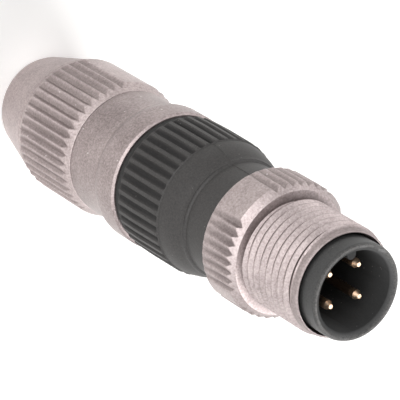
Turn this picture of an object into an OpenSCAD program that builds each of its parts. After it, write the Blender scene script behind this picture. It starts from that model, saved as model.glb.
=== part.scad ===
// M12 male cable connector with screw terminals: it stands on its cable nut,
// the contacts face up and the coding key faces -Y.

/* [Coupling ring] */
// Diameter over the knurl of the coupling ring
ring_d = 14.86; // [14.4:0.02:16]
// Length of the knurled collar
ring_l = 5; // [4.6:0.1:6.5]
// Outside diameter of the coupling thread
thread_d = 12; // [11.8:0.05:12.2]
// Length of the threaded sleeve with its front chamfer
thread_l = 8.85; // [7:0.1:11]
// Bore that runs round the contact carrier
ring_bore_d = 11; // [10.9:0.02:11.1]
// Chamfer on the front of the collar, across and along
ring_chamfer = [0.68, 0.8];
// Depth of the knurl grooves in the collar, at its rear and at its front
ring_groove = [0.12, 0.42];

/* [Contact carrier] */
// Outside diameter of the shroud round the contacts
shroud_d = 10.4; // [10.2:0.05:10.5]
// Bore of the shroud
shroud_bore_d = 8.7; // [8.5:0.02:8.8]
// Depth of the shroud
shroud_depth = 9.3; // [8:0.1:10]
// How far the shroud stands out of the coupling ring
shroud_out = 2.2; // [1:0.1:3]
// Lead-in chamfer inside the mouth, across and along
mouth_chamfer = [0.5, 0.4];
// Width of the coding key
key_w = 1.05; // [0.7:0.05:1.2]
// Distance of the key's nose from the axis
key_nose = 3.38; // [3.2:0.02:3.6]
// How far the key starts behind the mouth of the shroud
key_set_back = 0.75; // [0.45:0.05:1.5]
// Thickness of the flange that holds the coupling ring
flange_t = 0.85; // [0.6:0.05:1]

/* [Contacts] */
// Diameter of a contact pin
pin_d = 1; // [0.9:0.05:1.1]
// Diameter of the circle that the pins stand on
pin_circle_d = 5; // [4.9:0.05:5.2]
// How far the pin tips stay behind the mouth of the shroud
pin_set_back = 1.95; // [1.2:0.05:3]
// Taper of a pin's tip, its end diameter and its length
pin_tip = [0.46, 0.5];
// Diameter of the wire cup at the back of a pin
cup_d = 2.7; // [2.4:0.05:2.8]
// Length of the wire cup
cup_l = 6; // [5:0.1:6.5]
// Bore of the wire cup
cup_bore_d = 1.6; // [1.2:0.05:1.7]
// Diameter of a terminal screw
screw_d = 1.6; // [1.4:0.1:1.8]

/* [Grip sleeve] */
// Diameter over the ribs of the grip
grip_d = 15.4; // [15:0.05:16.5]
// Length of the ribbed band
grip_l = 7.45; // [6:0.05:10]
// Number of ribs
rib_count = 40; // [30:1:44]
// Diameter of the round valley between two ribs
valley_d = 0.8; // [0.6:0.05:0.85]
// Length of the domed shoulder in front of the ribs
shoulder_l = 3.05; // [2:0.05:5]
// Diameter of the neck behind the coupling ring
grip_neck_d = 12.6; // [12.5:0.05:12.7]
// Length of the neck
grip_neck_l = 4.75; // [4.5:0.05:7]
// Length of the threaded spigot
spigot_l = 3.6; // [3.2:0.1:4.5]

/* [Rear shell] */
// Diameter of the shell's head
shell_d = 15.46; // [15.2:0.02:16.5]
// Wall of the shell's head round the grip's spigot
shell_wall = 1.18; // [0.9:0.02:1.3]
// Length of the shell's head
shell_head_l = 4.1; // [3.9:0.1:5.5]
// Chamfer on the rim of the shell's head
shell_rim = 0.24; // [0.1:0.02:0.3]
// Diameter of the smooth neck
shell_neck_d = 14.2; // [14.1:0.05:14.5]
// Length of the smooth neck
shell_neck_l = 5.05; // [4:0.05:7]
// Length of the threaded tail
tail_l = 8.4; // [8:0.1:8.8]
// Width of the gap that shows the gasket
gasket_gap = 0.65; // [0.5:0.05:1]

/* [Cable clamp] */
// Outside diameter of the cable seal
seal_d = 10.5; // [10.3:0.1:10.6]
// Bore of the cable seal
seal_bore_d = 5.2; // [4:0.1:6]
// Length of the cable seal
seal_l = 4.2; // [3.5:0.1:4.6]
// Number of clamp fingers
finger_count = 6; // [5:1:8]

/* [Clamp nut] */
// Diameter over the knurl of the nut
nut_d = 15.4; // [15.3:0.05:16.5]
// Wall of the nut from the knurl's crest to the bore
nut_wall = 1.05; // [0.8:0.05:1.2]
// Length of the nut
nut_l = 17.05; // [16.8:0.05:18]
// Diameter of the nut's rear rim
nut_rear_d = 10.6; // [10:0.1:12]
// Length of the tapered tail of the nut
nut_cone_l = 6.9; // [6:0.1:8]
// Hole for the cable
cable_hole_d = 7.2; // [6.6:0.1:7.6]
// Thickness of the nut's end wall
nut_end_t = 3.4; // [2.8:0.1:3.8]
// Chamfer on the front of the nut, across and along
nut_chamfer = [0.48, 1.25];
// Depth of the knurl grooves in the nut, where they start and at its front
nut_groove = [0.3, 0.36];

/* [Knurls] */
// Angle from one groove to the next
groove_pitch = 8.1; // [8:0.1:8.2]
// Width of the crest left between two grooves
crest_w = 0.14; // [0.1:0.02:0.3]
// Depth at which a groove's steep sides turn into its root, as a share of its depth
flank_share = 0.64; // [0.5:0.02:0.8]
// Width of that root as a share of the groove's mouth
root_share = 0.5; // [0.3:0.02:0.7]
// Angle of the ring's smooth panel from the key
ring_panel_angle = 29; // [0:1:90]
// Angle of the nut's smooth panel from the key
nut_panel_angle = -25.5; // [-90:0.5:90]

/* [Hidden] */
$fn = 96;

run_fit = 0.05;        // radial gap of a running fit
free_gap = 0.3;        // radial gap where nothing guides
face_gap = 0.05;       // gap between two faces that meet when tight
seat_gap = 0.02;       // gap of a piece in its own seat
rib_land = 0.06;       // land between a valley's end and the shoulder
bite = 1;              // how far a cutter reaches past the surface it cuts
key_turn = -90;        // turns the key to -Y

// Threads that screw into each other, taken from the outer diameters
spigot_d = shell_d - 2 * shell_wall - 2 * run_fit;
tail_d = nut_d - 2 * nut_wall - 2 * run_fit;

// Heights of the faces, from the rear of the nut upwards
neck_z = nut_l + face_gap;
head_z = neck_z + shell_neck_l;
shell_end_z = head_z + shell_head_l;
grip_z = shell_end_z + gasket_gap;
shoulder_z = grip_z + grip_l;
grip_neck_z = shoulder_z + shoulder_l;
grip_end_z = grip_neck_z + grip_neck_l;
ring_z = grip_end_z + 0.15;
ring_face_z = ring_z + ring_l;
thread_end_z = ring_face_z + thread_l;
mouth_z = thread_end_z + shroud_out;
tail_z = neck_z - tail_l;

// Front end: the clip in the ring holds the carrier's flange
clip_t = 0.65;
clip_z = ring_z + 0.7;
flange_z = clip_z + clip_t + face_gap;
flange_d = 12.1;
counterbore_d = flange_d + 2 * free_gap;
clip_groove_d = counterbore_d + 0.5;
land_z = flange_z + flange_t;
land_d = ring_bore_d - 2 * run_fit;
land_l = 2.9;
brake_wire = 0.68;
brake_groove_d = land_d - 2 * brake_wire + 0.06;
brake_z = land_z + 1.5;

// Contact carrier behind the flange
stem_d = 11.2;
stem_z = shoulder_z + 1.6;
block_d = 10.2;
block_z = neck_z + 2.1;
seal_wire = 0.84;
seal_groove_z = grip_neck_z + 1.8;
floor_z = mouth_z - shroud_depth;

// Contact pins and their screws
pin_tip_z = mouth_z - pin_set_back;
cup_z = block_z + 0.4;
shank_d = 1.5;
collar_d = 2;
collar_depth = 5;
collar_z = floor_z - collar_depth;
collar_l = 2;
screw_z = cup_z + 1.5;
screw_in = pin_circle_d / 2 + 0.5;
screw_out = block_d / 2 - 0.1;

// Shell: web, chamber and seal housing
web_z = neck_z + 0.6;
web_t = 1;
web_hole_d = 8;
liner_t = 0.6;
chamber_d = block_d + 2 * free_gap + 2 * liner_t;
spigot_z = grip_z - spigot_l;
shell_bore_z = spigot_z - 0.5;
shell_bore_d = spigot_d + 2 * run_fit;
housing_d = seal_d + 0.1;

// Cable clamp, from the web down
seal_z = web_z - seal_l - face_gap;
washer_t = 0.6;
washer_z = seal_z - washer_t;
cage_base_l = 2.4;
cage_base_z = washer_z - cage_base_l;
cage_d = housing_d - 2 * seat_gap;
finger_z = nut_end_t + 0.85;
finger_tip_d = 8.6;
cage_bore_d = cable_hole_d + 0.5;
finger_lip = 0.45;
finger_slot_w = 1.1;
thrust_t = 0.6;
thrust_z = nut_end_t + face_gap;
thrust_d = finger_tip_d + 1;
nut_bore_d = nut_d - 2 * nut_wall;
nut_cone_d = thrust_d + 2 * free_gap;

// Knurl: the nut has two panels, the ring two wide and two narrow ones
nut_grooves = 18;
ring_grooves = 8;
panel_w = 180 - nut_grooves * groove_pitch;

// Points along an arc in the profile plane
function arc(cx, cy, r, from, to, steps = 8) =
    [for (i = [0:steps]) let (a = from + (to - from) * i / steps) [cx + r * cos(a), cy + r * sin(a)]];

// A round bar or hole standing on z
module bar(d, z, l) translate([0, 0, z]) cylinder(d = d, h = l);

// A ring of rectangular section
module band(d, bore, z, l) difference() {
    bar(d, z, l);
    bar(bore, z - bite, l + 2 * bite);
}

// Turns what is drawn at the key's angle to the key
module from_key(a) rotate([0, 0, key_turn + a]) children();

// Puts a copy at each of the four contacts
module at_contacts() for (i = [0:3]) from_key(45 + 90 * i) translate([pin_circle_d / 2, 0, 0]) children();

// One groove of a knurl, open outwards, with steep sides and a pointed root
module groove(d, depth) {
    mouth = d / 2 * groove_pitch * PI / 180 - crest_w;
    root = mouth * root_share;
    knee = depth * flank_share;
    spread = (mouth - root) / 2 * bite / knee;
    polygon([[-depth, 0], [-knee, -root / 2], [bite, -mouth / 2 - spread],
             [bite, mouth / 2 + spread], [-knee, root / 2]]);
}

// A run of grooves that starts at one angle: each deepens from z to its front at z + l
module groove_run(d, depth, from, count, z, l, lead_in) {
    lean = atan2(depth[1] - depth[0], l);
    for (i = [0:count - 1]) from_key(from + (i + 0.5) * groove_pitch) translate([d / 2, 0, z + l])
        rotate([0, -lean, 0]) translate([0, 0, -l - lead_in])
            linear_extrude(l + lead_in + bite) groove(d, depth[1]);
}

// A coupling ring with the M12 thread as its envelope
module coupling_ring() color([0.76, 0.71, 0.69]) difference() {
    rotate_extrude() polygon([
        [ring_bore_d / 2, land_z + face_gap], [ring_bore_d / 2, thread_end_z],
        [ring_bore_d / 2 + 0.08, thread_end_z], [thread_d / 2, thread_end_z - 0.6],
        [thread_d / 2, ring_face_z], [ring_d / 2 - ring_chamfer[0], ring_face_z],
        [ring_d / 2, ring_face_z - ring_chamfer[1]], [ring_d / 2, ring_z + 0.1],
        [ring_d / 2 - 0.1, ring_z], [counterbore_d / 2, ring_z], [counterbore_d / 2, clip_z - seat_gap],
        [clip_groove_d / 2, clip_z - seat_gap], [clip_groove_d / 2, clip_z + clip_t + seat_gap],
        [counterbore_d / 2, clip_z + clip_t + seat_gap], [counterbore_d / 2, land_z + face_gap]]);
    for (side = [0, 180], end = [0, 1])
        groove_run(ring_d, ring_groove,
            ring_panel_angle + side + (end == 0 ? panel_w / 2 : -panel_w / 2 - ring_grooves * groove_pitch),
            ring_grooves, ring_z, ring_l, bite);
}

// A split ring in the coupling ring's groove, behind the carrier's flange
module ring_clip() color([0.62, 0.63, 0.65]) difference() {
    band(clip_groove_d - 2 * seat_gap, stem_d + 2 * free_gap, clip_z, clip_t);
    from_key(180) translate([0, -0.8, clip_z - bite]) cube([clip_groove_d, 1.6, clip_t + 2 * bite]);
}

// The o-ring that brakes the coupling ring against vibration
module brake_ring() color([0.1, 0.1, 0.1]) rotate_extrude()
    translate([ring_bore_d / 2 - seat_gap - brake_wire / 2, brake_z]) circle(d = brake_wire, $fn = 32);

// A pin's outline, grown by the gap that its hole needs
module pin_profile(gap) {
    r = pin_d / 2;
    polygon(concat(
        [[0, cup_z - (gap > 0 ? bite : 0)], [cup_d / 2 + gap, cup_z - (gap > 0 ? bite : 0)],
         [cup_d / 2 + gap, cup_z + cup_l + gap], [shank_d / 2 + gap, cup_z + cup_l + gap],
         [shank_d / 2 + gap, collar_z - gap], [collar_d / 2 + gap, collar_z - gap],
         [collar_d / 2 + gap, collar_z + collar_l + gap], [shank_d / 2 + gap, collar_z + collar_l + gap]],
        gap > 0 ? [[shank_d / 2 + gap, floor_z + bite], [0, floor_z + bite]]
            : [[shank_d / 2, floor_z], [r, floor_z], [r, pin_tip_z - pin_tip[1]],
               [pin_tip[0] / 2, pin_tip_z], [0, pin_tip_z]]));
}

// A turned contact pin with a wire cup at its back
module pin(i) color([0.86, 0.72, 0.45]) from_key(45 + 90 * i) translate([pin_circle_d / 2, 0, 0])
    difference() {
        rotate_extrude($fn = 48) pin_profile(0);
        bar(cup_bore_d, cup_z - bite, cup_l - 1.2 + bite, $fn = 48);
        translate([0, 0, screw_z]) rotate([0, 90, 0]) cylinder(d = screw_d + 0.04, h = cup_d, $fn = 48);
    }

module pin_1() pin(0);
module pin_2() pin(1);
module pin_3() pin(2);
module pin_4() pin(3);

// Four slotted screws that clamp the wires in their cups
module terminal_screws() color([0.72, 0.72, 0.7]) for (i = [0:3]) from_key(45 + 90 * i)
    translate([screw_in, 0, screw_z]) rotate([0, 90, 0]) difference() {
        cylinder(d = screw_d, h = screw_out - screw_in, $fn = 48);
        translate([-screw_d, -0.15, screw_out - screw_in - 0.4]) cube([2 * screw_d, 0.3, bite]);
    }

// The insulating body: shroud with key, bearing land, flange and terminal block
module contact_carrier() color([0.3, 0.29, 0.29]) {
    difference() {
        rotate_extrude() polygon([
            [0, block_z], [block_d / 2, block_z], [block_d / 2, stem_z], [stem_d / 2, stem_z],
            [stem_d / 2, seal_groove_z], [stem_d / 2 - seal_wire, seal_groove_z],
            [stem_d / 2 - seal_wire, seal_groove_z + seal_wire + 0.3], [stem_d / 2, seal_groove_z + seal_wire + 0.3],
            [stem_d / 2, flange_z], [flange_d / 2, flange_z], [flange_d / 2, land_z], [land_d / 2, land_z],
            [land_d / 2, brake_z - brake_wire / 2 - 0.1], [brake_groove_d / 2, brake_z - brake_wire / 2 - 0.1],
            [brake_groove_d / 2, brake_z + brake_wire / 2 + 0.1], [land_d / 2, brake_z + brake_wire / 2 + 0.1],
            [land_d / 2, land_z + land_l], [shroud_d / 2, land_z + land_l + 0.25],
            [shroud_d / 2, mouth_z - 0.3], [shroud_d / 2 - 0.12, mouth_z],
            [shroud_bore_d / 2 + mouth_chamfer[0], mouth_z], [shroud_bore_d / 2, mouth_z - mouth_chamfer[1]],
            [shroud_bore_d / 2, floor_z], [0, floor_z]]);
        at_contacts() rotate_extrude($fn = 48) pin_profile(seat_gap);
        for (i = [0:3]) from_key(45 + 90 * i) translate([pin_circle_d / 2, 0, screw_z])
            rotate([0, 90, 0]) cylinder(d = screw_d + 0.2, h = block_d, $fn = 48);
    }
    from_key(0) intersection() {
        translate([0, 0, floor_z - 0.2]) linear_extrude(shroud_depth - key_set_back + 0.2) union() {
            translate([key_nose + key_w / 2, 0]) circle(d = key_w, $fn = 32);
            translate([key_nose + key_w / 2, -key_w / 2]) square([shroud_bore_d / 2 - key_nose, key_w]);
        }
        bar((shroud_bore_d + shroud_d) / 2, floor_z - bite, shroud_depth + bite);
    }
}

// The o-ring between the carrier and the sleeve
module carrier_seal() color([0.12, 0.12, 0.12]) rotate_extrude()
    translate([stem_d / 2 - seal_wire / 2, seal_groove_z + seal_wire / 2 + 0.15]) circle(d = seal_wire, $fn = 32);

// The ribbed plastic grip with its shoulder, neck and threaded spigot
module grip_sleeve() color([0.28, 0.27, 0.26]) difference() {
    shoulder_r = grip_d / 2 - 0.25;
    drop = shoulder_r - grip_neck_d / 2 - 0.28;
    dome_r = 9;
    chord = sqrt(shoulder_l * shoulder_l + drop * drop);
    lean = atan2(drop, shoulder_l);
    half = asin(chord / 2 / dome_r);
    rotate_extrude() polygon(concat(
        [[stem_d / 2 + seat_gap, grip_end_z], [stem_d / 2 + seat_gap, stem_z - seat_gap],
         [block_d / 2 + 0.15, stem_z - seat_gap], [block_d / 2 + 0.15, spigot_z],
         [spigot_d / 2 - 0.3, spigot_z], [spigot_d / 2, spigot_z + 0.3], [spigot_d / 2, grip_z],
         [grip_d / 2 - 0.3, grip_z], [grip_d / 2 - 0.05, grip_z + 0.3],
         [grip_d / 2, grip_z + grip_l * 0.4], [grip_d / 2 - 0.06, shoulder_z - 0.3]],
        arc(shoulder_r - drop / 2 - dome_r * cos(half) * cos(lean),
            shoulder_z + shoulder_l / 2 - dome_r * cos(half) * sin(lean), dome_r, lean - half, lean + half),
        arc(grip_neck_d / 2 + 0.28, grip_neck_z + 0.4, 0.28, 270, 180, 4),
        [[grip_neck_d / 2, grip_end_z - 0.1], [grip_neck_d / 2 - 0.1, grip_end_z]]));
    for (i = [0:rib_count - 1]) from_key((i + 0.15) * 360 / rib_count)
        translate([grip_d / 2 + 0.08, 0, grip_z - bite]) cylinder(d = valley_d, h = grip_l + bite - rib_land, $fn = 24);
}

// The flat gasket that the shell presses on the sleeve
module shell_gasket() color([0.1, 0.1, 0.1])
    band(shell_d - 0.8, spigot_d + 2 * free_gap, shell_end_z + face_gap, gasket_gap - 2 * face_gap);

// The metal shell: head over the spigot, smooth neck and threaded tail
module rear_shell() color([0.75, 0.7, 0.69]) rotate_extrude() polygon(concat(
    [[web_hole_d / 2, web_z], [housing_d / 2, web_z], [housing_d / 2, tail_z], [tail_d / 2 - 0.3, tail_z],
     [tail_d / 2, tail_z + 0.3], [tail_d / 2, neck_z], [shell_neck_d / 2, neck_z],
     [shell_neck_d / 2, head_z]],
    arc(shell_d / 2 - 2.4, head_z + 1.5, 2.4, -32, 0, 6),
    [[shell_d / 2, shell_end_z - shell_rim], [shell_d / 2 - shell_rim, shell_end_z],
     [shell_bore_d / 2 + 0.1, shell_end_z],
     [shell_bore_d / 2, shell_end_z - 0.1], [shell_bore_d / 2, shell_bore_z], [chamber_d / 2, shell_bore_z],
     [chamber_d / 2, web_z + web_t], [web_hole_d / 2, web_z + web_t]]));

// A plastic liner that keeps the terminal screws off the metal shell
module insulating_sleeve() color([0.85, 0.84, 0.8])
    band(chamber_d - 2 * seat_gap, chamber_d - 2 * liner_t, web_z + web_t, shell_bore_z - web_z - web_t);

// The rubber seal with a waist in its bore
module cable_seal() color([0.16, 0.16, 0.17]) rotate_extrude() polygon([
    [seal_bore_d / 2 + 0.5, seal_z], [seal_d / 2, seal_z], [seal_d / 2, seal_z + seal_l - 0.4],
    [seal_d / 2 - 0.4, seal_z + seal_l], [seal_bore_d / 2 + 0.5, seal_z + seal_l],
    [seal_bore_d / 2, seal_z + seal_l - 0.8], [seal_bore_d / 2, seal_z + 0.8]]);

// The washer between the seal and the clamp cage
module seal_washer() color([0.8, 0.8, 0.78]) band(seal_d, seal_bore_d + 1.2, washer_z, washer_t);

// The slotted cage whose fingers close on the cable
module clamp_cage() color([0.2, 0.2, 0.21]) difference() {
    rotate_extrude() polygon([
        [cage_bore_d / 2, washer_z], [cage_d / 2, washer_z], [cage_d / 2, cage_base_z],
        [finger_tip_d / 2, finger_z], [cage_bore_d / 2 - finger_lip, finger_z],
        [cage_bore_d / 2 - finger_lip, finger_z + 2], [cage_bore_d / 2, finger_z + 2 + finger_lip]]);
    for (i = [0:finger_count - 1]) rotate([0, 0, i * 360 / finger_count])
        translate([0, -finger_slot_w / 2, finger_z - bite])
            cube([cage_d, finger_slot_w, cage_base_z - finger_z + bite + 0.6]);
}

// The slip washer between the fingers and the nut
module thrust_washer() color([0.9, 0.9, 0.88]) band(thrust_d, cage_bore_d, thrust_z, thrust_t);

// The knurled nut that draws the clamp together
module clamp_nut() color([0.76, 0.71, 0.69]) difference() {
    top_d = nut_d - 2 * nut_groove[0] - 0.04;
    rotate_extrude() polygon([
        [cable_hole_d / 2 + 0.2, 0], [nut_rear_d / 2, 0], [nut_rear_d / 2 + 0.33, 0.7],
        [top_d / 2, nut_cone_l], [top_d / 2, nut_cone_l + 0.25], [nut_d / 2, nut_cone_l + 0.9],
        [nut_d / 2, nut_l - nut_chamfer[1]], [nut_d / 2 - nut_chamfer[0], nut_l],
        [nut_bore_d / 2 + 0.2, nut_l], [nut_bore_d / 2, nut_l - 0.2], [nut_bore_d / 2, tail_z - 0.6],
        [cage_d / 2 + free_gap + 0.1, tail_z - 0.8], [nut_cone_d / 2, thrust_z + thrust_t + 0.2],
        [nut_cone_d / 2, nut_end_t], [cable_hole_d / 2, nut_end_t], [cable_hole_d / 2, 0.2]]);
    for (side = [0, 180])
        groove_run(nut_d, nut_groove, nut_panel_angle + side + panel_w / 2, nut_grooves,
            nut_cone_l + 0.25, nut_l - nut_cone_l - 0.25, 0);
}

coupling_ring();
ring_clip();
brake_ring();
contact_carrier();
pin_1();
pin_2();
pin_3();
pin_4();
terminal_screws();
carrier_seal();
grip_sleeve();
shell_gasket();
rear_shell();
insulating_sleeve();
cable_seal();
seal_washer();
clamp_cage();
thrust_washer();
clamp_nut();
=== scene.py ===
# M12 male cable connector: dressed model, camera, floor and light
import bpy
import bmesh
import math
from mathutils import Matrix, Vector


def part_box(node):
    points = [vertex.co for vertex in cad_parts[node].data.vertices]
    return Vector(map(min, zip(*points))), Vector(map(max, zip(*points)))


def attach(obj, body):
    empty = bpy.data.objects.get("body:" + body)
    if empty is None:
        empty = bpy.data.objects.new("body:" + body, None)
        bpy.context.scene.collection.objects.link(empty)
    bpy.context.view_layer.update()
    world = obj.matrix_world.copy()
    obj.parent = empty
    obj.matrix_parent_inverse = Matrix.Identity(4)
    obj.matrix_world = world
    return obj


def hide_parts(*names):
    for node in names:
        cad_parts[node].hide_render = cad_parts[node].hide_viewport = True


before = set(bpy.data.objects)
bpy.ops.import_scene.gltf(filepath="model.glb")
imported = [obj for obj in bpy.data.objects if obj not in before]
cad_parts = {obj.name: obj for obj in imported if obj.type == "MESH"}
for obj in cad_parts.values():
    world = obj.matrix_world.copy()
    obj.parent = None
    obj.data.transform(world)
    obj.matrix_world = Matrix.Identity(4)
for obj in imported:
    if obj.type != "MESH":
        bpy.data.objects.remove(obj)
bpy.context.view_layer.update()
print("frame loaded:", len(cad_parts), "nodes")

mm = 0.001
keyTurn = -90.0                      # the coding key looks to -Y


def hexColour(code):
    # sRGB hex to the linear values that shaders take
    parts = [int(code[i:i + 2], 16) / 255 for i in (1, 3, 5)]
    return tuple(c / 12.92 if c <= 0.04045 else ((c + 0.055) / 1.055) ** 2.4 for c in parts) + (1.0,)


def node(tree, kind, settings=None, links=None):
    # adds a node; settings are its properties or input values, links are input: output
    made = tree.nodes.new(kind)
    for key, value in (settings or {}).items():
        if isinstance(key, str) and hasattr(made, key):
            setattr(made, key, value)
        else:
            made.inputs[key].default_value = value
    for key, source in (links or {}).items():
        tree.links.new(source, made.inputs[key])
    return made


def newMaterial(name):
    material = bpy.data.materials.new(name)
    material.use_nodes = True
    tree = material.node_tree
    tree.nodes.clear()
    return material, tree


# Satin nickel plate on a die-cast body, barrel finished: a warm grey sheen, mottled; the recesses carry painted
# shade and are rougher where the tumbling doesn't reach; grain, cloud, glint and bump are in mm
nickelLook = {"proud": "#aca09f", "dull": "#877c7b", "paintedShade": "#5e5554", "paintedGlint": "#f4efee",
              "roughness": 0.38, "roughSpan": (-0.06, 0.1), "recessRough": 0.15,
              "grain": 0.24, "grainSpan": (0.3, 0.7), "grainWeight": 1.2, "cloud": 2.6, "blendSpan": (0.5, 1.7),
              "bump": 0.04, "glint": 1.1, "glintShare": 0.8, "glintSpan": (0.1, 0.05), "glintMost": 0.6}


def satinNickel(name, look):
    material, t = newMaterial(name)
    place = node(t, "ShaderNodeTexCoord")
    # tumbling leaves a grain of about 0.05 mm; it is drawn at 0.24 mm so that it shows
    grain = node(t, "ShaderNodeTexNoise", {"Scale": 1 / (look["grain"] * mm), "Detail": 4.0, "Roughness": 0.65},
                 {"Vector": place.outputs["Object"]})
    grainShare = node(t, "ShaderNodeMapRange", {"From Min": look["grainSpan"][0], "From Max": look["grainSpan"][1]},
                      {"Value": grain.outputs["Fac"]})
    # the plate's thickness varies over a few millimetres
    cloud = node(t, "ShaderNodeTexNoise", {"Scale": 1 / (look["cloud"] * mm), "Detail": 3.0},
                 {"Vector": place.outputs["Object"]})
    blend = node(t, "ShaderNodeMath", {"operation": "MULTIPLY_ADD", 1: look["grainWeight"]},
                 {0: grainShare.outputs[0], 2: cloud.outputs["Fac"]})
    blendShare = node(t, "ShaderNodeMapRange", {"From Min": look["blendSpan"][0], "From Max": look["blendSpan"][1]},
                      {"Value": blend.outputs[0]})
    body = node(t, "ShaderNodeMix", {"data_type": "RGBA", 6: hexColour(look["dull"]), 7: hexColour(look["proud"])},
                {0: blendShare.outputs[0]})
    # painted shade: this mask darkens the colour in grooves, thread roots and other hollows
    paintedShade = node(t, "ShaderNodeAttribute", {"attribute_name": "paintedShade"})
    shade = node(t, "ShaderNodeMix", {"data_type": "RGBA", 7: hexColour(look["paintedShade"])},
                 {0: paintedShade.outputs["Fac"], 6: body.outputs[2]})
    # painted glints: a few single bright specks painted into the colour, one to a cell
    cells = node(t, "ShaderNodeTexVoronoi", {"Scale": 1 / (look["glint"] * mm)}, {"Vector": place.outputs["Object"]})
    tint = node(t, "ShaderNodeSeparateColor", {}, {"Color": cells.outputs["Color"]})
    chosen = node(t, "ShaderNodeMath", {"operation": "GREATER_THAN", 1: look["glintShare"]}, {0: tint.outputs[0]})
    spot = node(t, "ShaderNodeMapRange", {"From Min": look["glintSpan"][0], "From Max": look["glintSpan"][1],
                                          "To Max": look["glintMost"]}, {"Value": cells.outputs["Distance"]})
    glint = node(t, "ShaderNodeMath", {"operation": "MULTIPLY"}, {0: spot.outputs[0], 1: chosen.outputs[0]})
    colour = node(t, "ShaderNodeMix", {"data_type": "RGBA", 7: hexColour(look["paintedGlint"])},
                  {0: glint.outputs[0], 6: shade.outputs[2]})
    rough = node(t, "ShaderNodeMapRange", {"To Min": look["roughness"] + look["roughSpan"][0],
                                           "To Max": look["roughness"] + look["roughSpan"][1]},
                 {"Value": grain.outputs["Fac"]})
    dullRough = node(t, "ShaderNodeMath", {"operation": "MULTIPLY_ADD", 1: look["recessRough"]},
                     {0: paintedShade.outputs["Fac"], 2: rough.outputs[0]})
    bump = node(t, "ShaderNodeBump", {"Strength": 1.0, "Distance": look["bump"] * mm}, {"Height": grain.outputs["Fac"]})
    shader = node(t, "ShaderNodeBsdfPrincipled", {"Metallic": 1.0},
                  {"Base Color": colour.outputs[2], "Roughness": dullRough.outputs[0], "Normal": bump.outputs[0]})
    node(t, "ShaderNodeOutputMaterial", {}, {"Surface": shader.outputs[0]})
    return material


# Glass-filled nylon, moulded in a spark-eroded tool: dark, matt, with a fine even speckle of fibre ends;
# grain, speck and bump are in mm
nylonLook = {"colour": "#161413", "light": "#373433", "fibre": "#8a8683", "paintedShade": "#110f0f",
             "roughness": 0.52, "roughSpan": (-0.08, 0.12), "recessRough": 0.35, "ior": 1.53,
             "grain": 0.2, "grainSpan": (0.34, 0.66), "bump": 0.035, "bumpStrength": 0.6,
             "speck": 0.6, "speckSpan": (0.14, 0.06), "speckShare": 0.4, "fewer": 0.72}


def mouldedPlastic(name, look):
    material, t = newMaterial(name)
    place = node(t, "ShaderNodeTexCoord")
    # spark erosion leaves pits of about 0.03 mm; they are drawn at 0.2 mm so that they show
    grain = node(t, "ShaderNodeTexNoise", {"Scale": 1 / (look["grain"] * mm), "Detail": 4.0, "Roughness": 0.7},
                 {"Vector": place.outputs["Object"]})
    grainShare = node(t, "ShaderNodeMapRange", {"From Min": look["grainSpan"][0], "From Max": look["grainSpan"][1]},
                      {"Value": grain.outputs["Fac"]})
    body = node(t, "ShaderNodeMix", {"data_type": "RGBA", 6: hexColour(look["colour"]), 7: hexColour(look["light"])},
                {0: grainShare.outputs[0]})
    # painted shade: this mask paints the recesses and the socket darker
    paintedShade = node(t, "ShaderNodeAttribute", {"attribute_name": "paintedShade"})
    shade = node(t, "ShaderNodeMix", {"data_type": "RGBA", 7: hexColour(look["paintedShade"])},
                 {0: paintedShade.outputs["Fac"], 6: body.outputs[2]})
    # handling polishes the edges to a paler grey, here and there
    edge = node(t, "ShaderNodeAttribute", {"attribute_name": "edge"})
    rubbed = node(t, "ShaderNodeMath", {"operation": "MULTIPLY"}, {0: edge.outputs["Fac"], 1: grainShare.outputs[0]})
    worn = node(t, "ShaderNodeMix", {"data_type": "RGBA", 7: hexColour(look["fibre"])},
                {0: rubbed.outputs[0], 6: shade.outputs[2]})
    # fibre ends of about 0.02 mm, drawn at 0.1 mm, one to a cell
    cells = node(t, "ShaderNodeTexVoronoi", {"Scale": 1 / (look["speck"] * mm)}, {"Vector": place.outputs["Object"]})
    tint = node(t, "ShaderNodeSeparateColor", {}, {"Color": cells.outputs["Color"]})
    chosen = node(t, "ShaderNodeMath", {"operation": "GREATER_THAN", 1: look["fewer"]}, {0: tint.outputs[0]})
    spot = node(t, "ShaderNodeMapRange", {"From Min": look["speckSpan"][0], "From Max": look["speckSpan"][1],
                                          "To Max": look["speckShare"]}, {"Value": cells.outputs["Distance"]})
    speck = node(t, "ShaderNodeMath", {"operation": "MULTIPLY"}, {0: spot.outputs[0], 1: chosen.outputs[0]})
    colour = node(t, "ShaderNodeMix", {"data_type": "RGBA", 7: hexColour(look["fibre"])},
                  {0: speck.outputs[0], 6: worn.outputs[2]})
    bump = node(t, "ShaderNodeBump", {"Strength": look["bumpStrength"], "Distance": look["bump"] * mm},
                {"Height": grain.outputs["Fac"]})
    rough = node(t, "ShaderNodeMapRange", {"To Min": look["roughness"] + look["roughSpan"][0],
                                           "To Max": look["roughness"] + look["roughSpan"][1]},
                 {"Value": grain.outputs["Fac"]})
    # no tool polish reaches the recesses
    dullRough = node(t, "ShaderNodeMath", {"operation": "MULTIPLY_ADD", 1: look["recessRough"]},
                     {0: paintedShade.outputs["Fac"], 2: rough.outputs[0]})
    shader = node(t, "ShaderNodeBsdfPrincipled", {"IOR": look["ior"]},
                  {"Base Color": colour.outputs[2], "Roughness": dullRough.outputs[0], "Normal": bump.outputs[0]})
    node(t, "ShaderNodeOutputMaterial", {}, {"Surface": shader.outputs[0]})
    return material


# Gold flash on turned brass: warm yellow to copper, with fine turning rings; ring, cloud and bump are in mm,
# tip is the two heights over which the shank's painted shade gives way to the plated colour
goldLook = {"colour": "#ffe3c6", "worn": "#fbd2b0", "shankShade": "#9d8672", "tip": (55.1, 55.8), "roughness": 0.34,
            "ring": 0.08, "cloud": 0.5, "bump": 0.003, "bumpStrength": 0.4}


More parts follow.
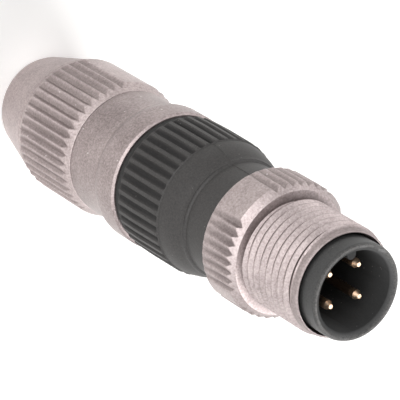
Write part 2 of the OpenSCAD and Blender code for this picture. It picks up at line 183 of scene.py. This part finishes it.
def goldPlate(name, look):
    material, t = newMaterial(name)
    place = node(t, "ShaderNodeTexCoord")
    # the lathe's feed is 0.04 mm a turn; the wave repeats in 2 pi times "ring", so it is drawn at 0.5 mm
    rings = node(t, "ShaderNodeTexWave", {"wave_type": "BANDS", "bands_direction": "Z", "Distortion": 1.0,
                                          "Scale": 1 / (look["ring"] * mm) / 20}, {"Vector": place.outputs["Object"]})
    cloud = node(t, "ShaderNodeTexNoise", {"Scale": 1 / (look["cloud"] * mm), "Detail": 2.0},
                 {"Vector": place.outputs["Object"]})
    plated = node(t, "ShaderNodeMix", {"data_type": "RGBA", 6: hexColour(look["worn"]), 7: hexColour(look["colour"])},
                  {0: cloud.outputs["Fac"]})
    # painted shade: the shank below the tip, down in the socket, is painted darker
    height = node(t, "ShaderNodeSeparateXYZ", {}, {"Vector": place.outputs["Object"]})
    tip = node(t, "ShaderNodeMapRange", {"From Min": look["tip"][0] * mm, "From Max": look["tip"][1] * mm},
               {"Value": height.outputs["Z"]})
    colour = node(t, "ShaderNodeMix", {"data_type": "RGBA", 6: hexColour(look["shankShade"])},
                  {0: tip.outputs[0], 7: plated.outputs[2]})
    bump = node(t, "ShaderNodeBump", {"Strength": look["bumpStrength"], "Distance": look["bump"] * mm},
                {"Height": rings.outputs["Fac"]})
    shader = node(t, "ShaderNodeBsdfPrincipled", {"Metallic": 1.0, "Roughness": look["roughness"]},
                  {"Base Color": colour.outputs[2], "Normal": bump.outputs[0]})
    node(t, "ShaderNodeOutputMaterial", {}, {"Surface": shader.outputs[0]})
    return material


# painted light: the ring's and the nut's copies of one nickel are painted lighter than the shell's, the nut's to make
# up for the floor's shade around it
ringNickelPaintedLighter = satinNickel("ringNickelPaintedLighter", {**nickelLook, "proud": "#bbafae", "dull": "#918685", "paintedShade": "#544b4a",
                                        "roughness": 0.44})
shellNickel = satinNickel("shellNickel", {**nickelLook, "proud": "#aea2a1", "dull": "#827776"})
nutNickelPaintedLighter = satinNickel("nutNickelPaintedLighter", {**nickelLook, "proud": "#c2b5b4", "dull": "#958988", "paintedShade": "#5f5655"})
clipSteel = satinNickel("clipSpringSteel", {**nickelLook, "proud": "#9a9ba0", "dull": "#85868b",
                                            "roughness": 0.3, "bump": 0.002})
screwSteel = satinNickel("screwPlatedSteel", {**nickelLook, "proud": "#b8b6b0", "dull": "#a3a19c",
                                              "roughness": 0.28, "bump": 0.002})
gripNylon = mouldedPlastic("gripNylon", nylonLook)
# the carrier's socket is painted near black, as painted shade
carrierNylon = mouldedPlastic("carrierNylon", {**nylonLook, "colour": "#191919", "light": "#353535",
                                               "paintedShade": "#030303", "roughness": 0.46, "bump": 0.008,
                                               "speckShare": 0.3})
cageNylon = mouldedPlastic("cageNylon", {**nylonLook, "colour": "#26262a", "light": "#303034"})
# nitrile rubber from a polished mould: near black and matt
sealRubber = mouldedPlastic("sealRubber", {**nylonLook, "colour": "#101010", "light": "#181818",
                                           "roughness": 0.62, "ior": 1.52, "speckShare": 0.0})
# natural acetal, moulded: milky white with a soft sheen
linerPlastic = mouldedPlastic("linerAcetal", {**nylonLook, "colour": "#cfccc2", "light": "#dcd9d0",
                                              "roughness": 0.45, "ior": 1.48, "speckShare": 0.0})
washerPlastic = mouldedPlastic("washerAcetal", {**nylonLook, "colour": "#d6d4cc", "light": "#e2e0d8",
                                                "roughness": 0.4, "ior": 1.48, "speckShare": 0.0})
contactGold = goldPlate("contactGold", goldLook)
for name, material in {
        "ring_clip": clipSteel, "brake_ring": sealRubber, "pin_1": contactGold, "pin_2": contactGold,
        "pin_3": contactGold, "pin_4": contactGold, "terminal_screws": screwSteel, "carrier_seal": sealRubber,
        "shell_gasket": sealRubber, "insulating_sleeve": linerPlastic, "cable_seal": sealRubber,
        "seal_washer": washerPlastic, "clamp_cage": cageNylon, "thrust_washer": washerPlastic}.items():
    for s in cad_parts[name].material_slots:
        s.material = material
print("finishes made")


def rounded(points, radii, steps=4):
    # polyline with its corners rounded; radii gives one value for each point, 0 keeps a corner
    out = []
    for i, p in enumerate(points):
        r = radii[i]
        if not r or i == 0 or i == len(points) - 1:
            out.append(p)
            continue
        a, b = Vector(points[i - 1]) - Vector(p), Vector(points[i + 1]) - Vector(p)
        la, lb = a.length, b.length
        a, b = a / la, b / lb
        half = max(math.acos(max(-1, min(1, a.dot(b)))) / 2, 0.01)
        cut = min(r / math.tan(half), 0.48 * la, 0.48 * lb)
        for k in range(steps + 1):
            t = k / steps
            q = (1 - t) ** 2 * a * cut + t ** 2 * b * cut
            out.append((p[0] + q[0], p[1] + q[1]))
    return out


def divided(line, step):
    # the same line with no piece longer than step(height)
    out = [line[0]]
    for p, q in zip(line, line[1:]):
        n = max(1, math.ceil(math.dist(p, q) / step((p[1] + q[1]) / 2)))
        out += [(p[0] + (q[0] - p[0]) * k / n, p[1] + (q[1] - p[1]) * k / n) for k in range(1, n + 1)]
    return out


def softLower(a, b, soft):
    # the lower of a and b, with the change from one to the other rounded off
    return 0.5 * (a + b - math.sqrt((a - b) ** 2 + soft ** 2))


def stitched(count, size, base, closed):
    # faces between count outlines of size points each, wrapped round; a closed outline also joins its ends
    faces = []
    for i in range(count):
        j = (i + 1) % count
        for k in range(size if closed else size - 1):
            m = (k + 1) % size
            faces.append((base + i * size + k, base + j * size + k, base + j * size + m, base + i * size + m))
    return faces


def turned(angles, outlines):
    # closed outlines of (r, z, painted shade), one at each angle from the key, joined into one solid
    verts = []
    for a, outline in zip(angles, outlines):
        c, s = math.cos(math.radians(a + keyTurn)), math.sin(math.radians(a + keyTurn))
        verts += [(p[0] * c, p[0] * s, p[1], p[2] if len(p) > 2 else 0.0) for p in outline]
    return verts, stitched(len(angles), len(outlines[0]), 0, True)


def showPiece(name, mesh, material, body, stands, sharp):
    # shades the mesh, and puts it in the scene in place of the CAD node that it stands for
    mesh.shade_smooth()
    mesh.set_sharp_from_angle(angle=math.radians(sharp))
    mesh.materials.clear()
    mesh.materials.append(material)
    piece = bpy.data.objects.new(name, mesh)
    bpy.context.scene.collection.objects.link(piece)
    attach(piece, body)
    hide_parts(stands)
    return piece


def meshPiece(name, verts, faces, material, body, stands, sharp=32):
    # verts are (x, y, z, painted shade) in mm
    mesh = bpy.data.meshes.new(name)
    mesh.from_pydata([(v[0] * mm, v[1] * mm, v[2] * mm) for v in verts], [], faces)
    bm = bmesh.new()
    bm.from_mesh(mesh)
    layer = bm.verts.layers.float.new("paintedShade")
    for vert, v in zip(bm.verts, verts):
        vert[layer] = v[3]
    bmesh.ops.remove_doubles(bm, verts=bm.verts, dist=2e-7)
    bmesh.ops.dissolve_degenerate(bm, edges=bm.edges, dist=1e-7)
    bmesh.ops.recalc_face_normals(bm, faces=bm.faces)
    bm.to_mesh(mesh)
    bm.free()
    return showPiece(name, mesh, material, body, stands, sharp)


# Knurl of both metal pieces: leaning grooves side by side with a thin crest between them. Pitch and panelStep
# are in degrees, the rest in mm; columns are places across a groove, from -1 to 1 between its edges, and its
# deepest line is off the middle
knurl = {"pitch": 8.1, "crest": 0.1, "soft": 0.02, "power": 1.25, "deepest": 0.38,
         "columns": (-1.04, -0.98, -0.92, -0.78, -0.6, -0.4, -0.2, 0.0,
                     0.18, 0.3, 0.38, 0.46, 0.6, 0.78, 0.92, 0.98, 1.04),
         "panelStep": 2.8, "panelLeast": 6, "shadeFromDepth": 0.02, "shadeOverDepth": 0.35, "shadeMost": 0.4}


def knurlColumns(radius, starts, count):
    # angles all round, each with its place across a groove, or None on a smooth panel
    half = (radius * math.radians(knurl["pitch"]) - knurl["crest"]) / 2
    columns = []
    for first in starts:
        for i in range(count):
            mid = first + (i + 0.5) * knurl["pitch"]
            columns += [(mid + math.degrees(half * u / radius), u) for u in knurl["columns"]]
    columns.sort()
    full = []
    for i, (a, u) in enumerate(columns):
        full.append((a, u))
        b = columns[(i + 1) % len(columns)][0] + (360 if i == len(columns) - 1 else 0)
        if b - a > knurl["panelLeast"]:
            n = int((b - a) / knurl["panelStep"])
            full += [(a + (b - a) * k / n, None) for k in range(1, n)]
    return full


def grooved(line, u, radius, depthAt):
    # the crest line with a groove cut into it, as (r, z, painted shade)
    out = []
    for r, z in line:
        cut = r
        depth = depthAt(z)
        if u is not None and depth:
            low = knurl["deepest"]
            side = (u - low) / (1 + low if u < low else 1 - low)
            cut = softLower(r, radius - depth * (1 - abs(side) ** knurl["power"]), knurl["soft"])
        # painted shade: the deeper the groove's cut, the darker its colour, up to a limit
        grooveShade = (r - cut - knurl["shadeFromDepth"]) / knurl["shadeOverDepth"]
        out.append((cut, z, max(0.0, min(knurl["shadeMost"], grooveShade))))
    return out


# Coupling ring: knurled collar with the M12 x 1 thread. Sizes in mm, heights from its rear face, panels in
# degrees from the key; clip is the low and high side and the radius of the clip's groove, land the radius and
# length of the plain mouth, rise how far the face climbs towards the thread, grooveDepth its rear and front value
ringSizes = {"radius": 7.43, "length": 5.0, "chamfer": (0.68, 0.8), "rearChamfer": 0.1, "bore": 5.5,
             "counterbore": 6.35, "counterboreEnd": 2.3, "clip": (0.68, 1.37, 6.6), "end": 13.85,
             "rise": 0.08, "footShade": 0.4, "threadRadius": 6.0, "pitch": 1.0, "threadDepth": 0.42,
             "crestShare": 0.14, "rootShare": 0.22, "runOut": 0.35, "land": (5.72, 0.9), "landSlope": 1.2,
             "mouthEdge": 0.14, "rootShade": (0.395, 0.025), "landShade": 0.32,
             "grooves": 8, "panels": (29, 209), "panelWidth": 34.2, "grooveDepth": (0.12, 0.42)}
aroundThread = 120                   # steps round the helix


def ringCollar(z, rise):
    starts = []
    for p in z["panels"]:
        starts += [p + z["panelWidth"] / 2, p - z["panelWidth"] / 2 - z["grooves"] * knurl["pitch"]]
    columns = knurlColumns(z["radius"], starts, z["grooves"])
    top = rise + z["length"] - z["chamfer"][1]
    face = rise + z["length"]
    crest = rounded([(z["radius"] - z["rearChamfer"] - 0.3, rise), (z["radius"] - z["rearChamfer"], rise),
                     (z["radius"], rise + z["rearChamfer"]), (z["radius"], top),
                     (z["radius"] - z["chamfer"][0], face), (z["threadRadius"] - 0.1, face + z["rise"])],
                    [0, 0.04, 0.05, 0.05, 0.06, 0])
    crest = divided(crest, lambda h: 0.05 if h > top - 0.2 else 0.5)
    low, high, wide = z["clip"]
    inner = [(z["bore"] + 0.04, face + z["rise"]), (z["bore"] + 0.02, face + z["rise"]),
             (z["bore"], face - 0.02), (z["bore"], rise + z["counterboreEnd"]),
             (z["counterbore"], rise + z["counterboreEnd"]), (z["counterbore"], rise + high),
             (wide, rise + high), (wide, rise + low), (z["counterbore"], rise + low), (z["counterbore"], rise)]
    rear, front = z["grooveDepth"]

    def depthAt(h):
        return rear + (front - rear) * (h - rise) / z["length"]
    # painted shade: the face is painted darker towards the foot of the thread
    outlines = [[(r, h, max(d, z["footShade"] * (h - face) / z["rise"]))
                 for r, h, d in grooved(crest, u, z["radius"], depthAt)] + inner for a, u in columns]
    return turned([a for a, u in columns], outlines)


def threadLimit(z, end, h):
    # radius that the thread keeps inside: a plain land at the mouth, with its edge broken
    radius, length = z["land"]
    fromTop = end - h
    return min(z["threadRadius"], radius + max(0, fromTop - length) * z["landSlope"], radius - z["mouthEdge"] + fromTop)


def ringThread(z, start, end, base):
    # one long strip wound up the helix, its ends cut square; base is the count of points before it
    depth, p = z["threadDepth"], z["pitch"]
    flank = (1 - z["crestShare"] - z["rootShare"]) / 2
    tooth = [(0, 0), (z["crestShare"], 0), (z["crestShare"] + flank, depth), (1 - flank, depth), (1, 0)]
    tooth = rounded(tooth, [0, 0.02, 0.08, 0.08, 0], 3)[:-1]
    turns = int((end - start) / p) + 2
    land = z["land"][1]
    shadeFrom, shadeOver = z["rootShade"]
    verts, faces = [], []
    for i in range(turns * aroundThread + 1):
        a = math.radians(360 * i / aroundThread + keyTurn)
        for u, cut in tooth:
            h = max(start, min(end, start - p + p * (i / aroundThread + u)))
            fade = max(0.0, min(1.0, (end - land - h) / z["runOut"]))
            r = min(threadLimit(z, end, h), z["threadRadius"] - cut * fade)
            # painted shade at the thread's root, and the plain land at the mouth painted darker as painted shade
            shade = max(0.0, cut * fade - shadeFrom) / shadeOver + (z["landShade"] if end - h < land else 0.0)
            verts.append((r * math.cos(a), r * math.sin(a), h, min(1.0, shade)))
    n = len(tooth)
    for i in range(turns * aroundThread):
        here, after = base + i * n, base + (i + 1) * n
        faces += [(here + k, after + k, after + k + 1, here + k + 1) for k in range(n - 1)]
        if i + aroundThread + 1 <= turns * aroundThread:
            above = here + aroundThread * n
            faces.append((here + n - 1, after + n - 1, above + n, above))
    return verts, faces


def couplingRing(z, rise):
    verts, faces = ringCollar(z, rise)
    start, end = rise + z["length"] - 0.3, rise + z["end"]
    more, moreFaces = ringThread(z, start, end, len(verts))
    verts += more
    faces += moreFaces
    # the sleeve's mouth and bore
    rim = [(threadLimit(z, end, end), end), (z["bore"] + 0.02, end), (z["bore"], end - 0.02), (z["bore"], start)]
    faces += stitched(aroundThread, len(rim), len(verts), False)
    for i in range(aroundThread):
        a = math.radians(360 * i / aroundThread + keyTurn)
        verts += [(r * math.cos(a), r * math.sin(a), h, 0.0) for r, h in rim]
    return meshPiece("couplingRingThreaded", verts, faces, ringNickelPaintedLighter, "coupling_ring_body",
                     "coupling_ring")


couplingRing(ringSizes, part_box("coupling_ring")[0][2] / mm)
print("coupling ring cut")

# Clamp nut: tapered tail, knurled head; sizes in mm, heights from its rear face, panels in degrees from the key
nutSizes = {"rear": 5.3, "rearEdge": 0.7, "cone": 6.9, "radius": 7.7, "length": 17.05, "chamfer": (0.48, 1.25),
            "grooves": 18, "panels": (-25.5, 154.5), "panelWidth": 34.2, "grooveDepth": (0.3, 0.36),
            "shoulder": 0.25, "hole": 3.6, "wall": 3.4, "bore": 6.65, "boreLow": 8.1,
            "seat": (5.7, 7.9), "funnel": (5.1, 4.25)}


def clampNut(z):
    columns = knurlColumns(z["radius"], [p + z["panelWidth"] / 2 for p in z["panels"]], z["grooves"])
    rear, front = z["grooveDepth"]
    floor = z["radius"] - rear - 0.02
    begin = z["cone"] + z["shoulder"]
    crest = rounded([(z["hole"] + 0.2, 0), (z["rear"], 0), (z["rear"] + 0.33, z["rearEdge"]), (floor, z["cone"]),
                     (floor, begin), (z["radius"], begin + 0.65), (z["radius"], z["length"] - z["chamfer"][1]),
                     (z["radius"] - z["chamfer"][0] - 0.1, z["length"]), (z["bore"] + 0.2, z["length"])],
                    [0, 0.15, 0.3, 0.2, 0.05, 0.08, 0.08, 0.05, 0])

    def step(h):
        if begin - 0.05 < h < begin + 0.8:
            return 0.05
        return 0.07 if h > z["length"] - z["chamfer"][1] - 0.1 else 0.9
    crest = divided(crest, step)
    inner = [(z["bore"], z["length"] - 0.2), (z["bore"], z["boreLow"]), z["seat"], z["funnel"],
             (z["funnel"][0], z["wall"]), (z["hole"], z["wall"]), (z["hole"], 0.2)]

    def depthAt(h):
        return 0 if h < begin else rear + (front - rear) * (h - begin) / (z["length"] - begin)
    outlines = [grooved(crest, u, z["radius"], depthAt) + inner for a, u in columns]
    verts, faces = turned([a for a, u in columns], outlines)
    return meshPiece("clampNutKnurled", verts, faces, nutNickelPaintedLighter, "nut_body", "clamp_nut")


nut = clampNut(nutSizes)
print("clamp nut cut")

# Rear shell: head, smooth neck and threaded tail; sizes in mm, heights in the part's frame
shellSizes = {"neck": 7.1, "neckLow": 17.1, "headLow": 22.15, "head": 7.73, "headTop": 26.25, "rim": 0.24,
              "swell": 2.4, "tail": 6.6, "tailLow": 8.7, "housing": 5.3, "web": 17.7, "webHole": 4.0,
              "chamber": 6.0, "bore": 6.55, "boreLow": 22.8}


def rearShell(z):
    swell = [(z["head"] - z["swell"] * (1 - math.cos(math.radians(a))),
              z["headLow"] + 1.5 + z["swell"] * math.sin(math.radians(a))) for a in (-32, -27, -22, -16, -11, -5, 0)]
    outer = [(z["housing"], z["tailLow"]), (z["tail"] - 0.3, z["tailLow"]), (z["tail"], z["tailLow"] + 0.3),
             (z["tail"], z["neckLow"]), (z["neck"], z["neckLow"]), (z["neck"], z["headLow"])] + swell + [
             (z["head"], z["headTop"] - z["rim"]), (z["head"] - z["rim"], z["headTop"]),
             (z["bore"] + 0.1, z["headTop"]), (z["bore"], z["headTop"] - 0.1), (z["bore"], z["boreLow"]),
             (z["chamber"], z["boreLow"]), (z["chamber"], z["web"] + 1), (z["webHole"], z["web"] + 1),
             (z["webHole"], z["web"]), (z["housing"], z["web"])]
    radii = [0, 0, 0, 0, 0.04, 0.03, 0.12] + [0] * 6 + [0.07, 0.06, 0.03] + [0] * 7
    line = rounded(outer, radii)
    angles = [2 * i for i in range(180)]
    verts, faces = turned(angles, [line] * len(angles))
    return meshPiece("rearShellTurned", verts, faces, shellNickel, "shell_body", "rear_shell")


rearShell(shellSizes)
print("rear shell turned")

# Grip sleeve: ribbed band, domed shoulder, neck and spigot; sizes in mm, low and step are heights in the part's
# frame, first is the place of the first valley in pitches and partingAt an angle, both from the key
gripSizes = {"low": 26.9, "band": 7.45, "radius": 7.7, "ribs": 40, "valley": 0.4, "valleyOut": 0.08, "first": 0.15,
             "shoulder": 3.05, "shoulderRadius": 7.45, "dome": 9.0, "neck": 6.3, "neckLength": 4.75, "spigot": 6.5,
             "spigotLength": 3.6, "bore": 5.62, "wideBore": 5.25, "step": 35.9, "partingAt": 1.0,
             "partingStep": 0.035, "soft": 0.05, "landBelow": 0.12, "shadeFromDepth": 0.06, "shadeOverDepth": 0.2,
             "columns": (-1.02, -0.97, -0.88, -0.74, -0.5, -0.25, 0, 0.25, 0.5, 0.74, 0.88, 0.97, 1.02)}


def gripCrest(z, high, top):
    # the outline over the ribs up to the shoulder, and the plain one from there over the dome and the neck
    low, radius, band = z["low"], z["radius"], z["band"]
    crest = [(radius - 0.3, low), (radius - 0.05, low + 0.3)]
    crest += [(radius - 0.05 + 0.05 * min(1, i / 5), low + 0.3 + (band * 0.4 - 0.3) * i / 5) for i in range(1, 6)]
    crest += [(radius - 0.06 * i / 5, low + band * 0.4 + (band * 0.6 - 0.3) * i / 5) for i in range(1, 6)]
    crest += [(radius - 0.1, high - 0.14), (radius - 0.14, high - 0.1), (radius - 0.2, high - 0.04)]
    drop = z["shoulderRadius"] - z["neck"] - 0.28
    lean = math.atan2(drop, z["shoulder"])
    half = math.asin(math.hypot(drop, z["shoulder"]) / 2 / z["dome"])
    cr = z["shoulderRadius"] - drop / 2 - z["dome"] * math.cos(half) * math.cos(lean)
    cz = high + z["shoulder"] / 2 - z["dome"] * math.cos(half) * math.sin(lean)
    turns = [lean + half * (2 * i / 10 - 1) for i in range(11)]
    dome = [(cr + z["dome"] * math.cos(t), cz + z["dome"] * math.sin(t)) for t in turns]
    neck = [(z["neck"] + 0.28, top + 0.12), (z["neck"] + 0.2, top + 0.16), (z["neck"] + 0.08, top + 0.25),
            (z["neck"], top + 0.4), (z["neck"], top + z["neckLength"] - 0.1), (z["neck"] - 0.1, top + z["neckLength"])]
    return crest, dome + neck


def gripSleeve(z):
    low = z["low"]
    high = low + z["band"]
    top = high + z["shoulder"]
    crest, plain = gripCrest(z, high, top)
    inner = [(z["bore"], top + z["neckLength"]), (z["bore"], z["step"]), (z["wideBore"], z["step"]),
             (z["wideBore"], low - z["spigotLength"]), (z["spigot"] - 0.3, low - z["spigotLength"]),
             (z["spigot"], low - z["spigotLength"] + 0.3), (z["spigot"], low)]
    pitch = 360 / z["ribs"]
    centre = z["radius"] + z["valleyOut"]
    edge = math.degrees(math.asin(z["valley"] / centre))
    angles = []
    for i in range(z["ribs"]):
        mid = (i + z["first"]) * pitch
        angles += [mid + edge * t for t in z["columns"]]
        angles += [mid + edge * 1.12, mid + pitch / 2, mid + pitch - edge * 1.12]
    for p in (z["partingAt"], z["partingAt"] + 180):
        angles += [p - 0.25, p + 0.25]
    angles = sorted(a % 360 for a in angles)
    outlines = []
    for a in angles:
        off = ((a - z["first"] * pitch + pitch / 2) % pitch) - pitch / 2
        reach = centre * math.sin(math.radians(off))
        floor = None                 # radius of the valley's floor at this angle
        if abs(reach) < z["valley"]:
            floor = centre * math.cos(math.radians(off)) - math.sqrt(z["valley"] ** 2 - reach ** 2)
        # the halves of the mould meet a hair apart
        proud = z["partingStep"] * (1 if (a - z["partingAt"]) % 360 > 180 else -1)
        line = []
        for r, h in crest:
            # painted shade: the valleys' colour darkens with their depth
            valleyShade = 0.0
            if h < high - z["landBelow"] and floor is not None:
                cut = softLower(r, floor, z["soft"])
                valleyShade = max(0.0, min(1.0, (r - cut - z["shadeFromDepth"]) / z["shadeOverDepth"]))
                r = cut
            line.append((r + proud, h, valleyShade))
        outlines.append(line + [(r + proud, h) for r, h in plain] + inner)
    verts, faces = turned(angles, outlines)
    return meshPiece("gripSleeveMoulded", verts, faces, gripNylon, "connector_core", "grip_sleeve", 26)


gripSleeve(gripSizes)
print("grip sleeve moulded")

# Contact carrier: its own shape, with wear on the shroud's mouth and shade in the socket; radius and heights in
# mm, in the part's frame
carrierSizes = {"wornAbove": 58.287, "wear": 0.35, "shadeBelow": 57.95, "socket": 4.5}


def contactCarrier(z):
    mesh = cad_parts["contact_carrier"].data.copy()
    mesh.name = "contactCarrierMoulded"
    bm = bmesh.new()
    bm.from_mesh(mesh)
    bmesh.ops.remove_doubles(bm, verts=bm.verts, dist=1e-7)
    bmesh.ops.dissolve_limit(bm, angle_limit=math.radians(0.5), verts=bm.verts, edges=bm.edges)
    bmesh.ops.bisect_plane(bm, geom=bm.verts[:] + bm.edges[:] + bm.faces[:],
                           plane_co=(0, 0, z["shadeBelow"] * mm), plane_no=(0, 0, 1))
    layer = bm.verts.layers.float.new("paintedShade")
    worn = bm.verts.layers.float.new("edge")
    for v in bm.verts:
        height = v.co.z / mm
        inside = math.hypot(v.co.x, v.co.y) / mm < z["socket"]
        v[worn] = z["wear"] if height > z["wornAbove"] else 0.0
        v[layer] = 1.0 if inside and height < z["shadeBelow"] + 0.05 else 0.0
    bm.to_mesh(mesh)
    bm.free()
    return showPiece("contactCarrierMoulded", mesh, carrierNylon, "connector_core",
                     "contact_carrier", 25)


contactCarrier(carrierSizes)
print("contact carrier finished")

# Floor: matt white card; it is white where it is seen, and keeps the connector's shadow
floorLook = {"colour": "#f4f3f1", "glow": 0.3, "size": 1.6, "below": 0.02}


def seenDirectly(t):
    # 1 for rays that show the background: straight from the camera, mirrored, or through glass
    path = node(t, "ShaderNodeLightPath")
    both = node(t, "ShaderNodeMath", {"operation": "MAXIMUM"},
                {0: path.outputs["Is Camera Ray"], 1: path.outputs["Is Glossy Ray"]})
    seen = node(t, "ShaderNodeMath", {"operation": "MAXIMUM"},
                {0: both.outputs[0], 1: path.outputs["Is Transmission Ray"]})
    return seen.outputs[0]


def paleFloor(look, standsUnder):
    material, t = newMaterial("paperMatt")
    strength = node(t, "ShaderNodeMath", {"operation": "MULTIPLY", 1: look["glow"]}, {0: seenDirectly(t)})
    paper = node(t, "ShaderNodeBsdfDiffuse", {"Color": hexColour(look["colour"])})
    glow = node(t, "ShaderNodeEmission", {"Color": (1, 1, 1, 1)}, {"Strength": strength.outputs[0]})
    add = node(t, "ShaderNodeAddShader", {}, {0: paper.outputs[0], 1: glow.outputs[0]})
    node(t, "ShaderNodeOutputMaterial", {}, {"Surface": add.outputs[0]})
    bpy.ops.mesh.primitive_plane_add(size=look["size"], location=(0, 0, -look["below"] * mm))
    floor = bpy.context.object
    floor.name = "paperSheet"
    floor.data.materials.append(material)
    floor.parent = standsUnder       # the connector stands on its nut, also when that is backed off
    floor.matrix_parent_inverse = standsUnder.matrix_world.inverted()


paleFloor(floorLook, nut)

# Sky: white where it is seen, and a faint fill of light elsewhere
skyLook = {"seen": 1.0, "fill": 0.03}


def paleWorld(look):
    world = bpy.data.worlds.new("paleSky")
    bpy.context.scene.world = world
    world.use_nodes = True
    t = world.node_tree
    t.nodes.clear()
    strength = node(t, "ShaderNodeMapRange", {"To Min": look["fill"], "To Max": look["seen"]},
                    {"Value": seenDirectly(t)})
    sky = node(t, "ShaderNodeBackground", {"Color": (1, 1, 1, 1)}, {"Strength": strength.outputs[0]})
    node(t, "ShaderNodeOutputWorld", {}, {"Surface": sky.outputs[0]})


paleWorld(skyLook)

# Soft boxes: azimuth and elevation in degrees, width and height in metres, watts
lamps = {"frontBox": {"azimuth": -41, "elevation": 32, "size": (0.7, 0.35), "power": 2.1},
         "rightBox": {"azimuth": 20, "elevation": 24, "size": (0.3, 0.25), "power": 0.5},
         "leftBox": {"azimuth": -155, "elevation": 30, "size": (0.3, 0.3), "power": 0.6},
         "backBox": {"azimuth": 100, "elevation": 48, "size": (0.36, 0.36), "power": 2.5}}
lampDistance = 0.5
aim = Vector((0, 0, 0.03))           # the middle of the connector
for name, l in lamps.items():
    data = bpy.data.lights.new(name, "AREA")
    data.shape = "RECTANGLE"
    data.size, data.size_y = l["size"]
    data.energy = l["power"]
    lamp = bpy.data.objects.new(name, data)
    bpy.context.scene.collection.objects.link(lamp)
    a, e = math.radians(l["azimuth"]), math.radians(l["elevation"])
    lamp.location = aim + lampDistance * Vector((math.cos(e) * math.cos(a), math.cos(e) * math.sin(a), math.sin(e)))
    lamp.rotation_euler = (aim - lamp.location).to_track_quat("-Z", "Y").to_euler()
    lamp.visible_camera = False

# Camera: looks down at the mating face from the key's right, rolled so that the connector lies across the view
cameraSet = {"position": (0.1599, -0.1409, 0.2721), "right": (-0.8230, 0.0353, 0.5670),
             "up": (-0.2751, -0.8980, -0.3435), "lens": 276.6, "sensor": 36}
cam = bpy.data.cameras.new("camera")
cam.lens = cameraSet["lens"]
cam.sensor_width = cameraSet["sensor"]
camera = bpy.data.objects.new("camera", cam)
bpy.context.scene.collection.objects.link(camera)
right, up = Vector(cameraSet["right"]).normalized(), Vector(cameraSet["up"])
back = right.cross(up).normalized()
up = back.cross(right)
camera.matrix_world = Matrix.Translation(cameraSet["position"]) @ Matrix((right, up, back)).transposed().to_4x4()
bpy.context.scene.camera = camera
bpy.context.scene.view_settings.view_transform = "Standard"
print("floor, light and camera set")
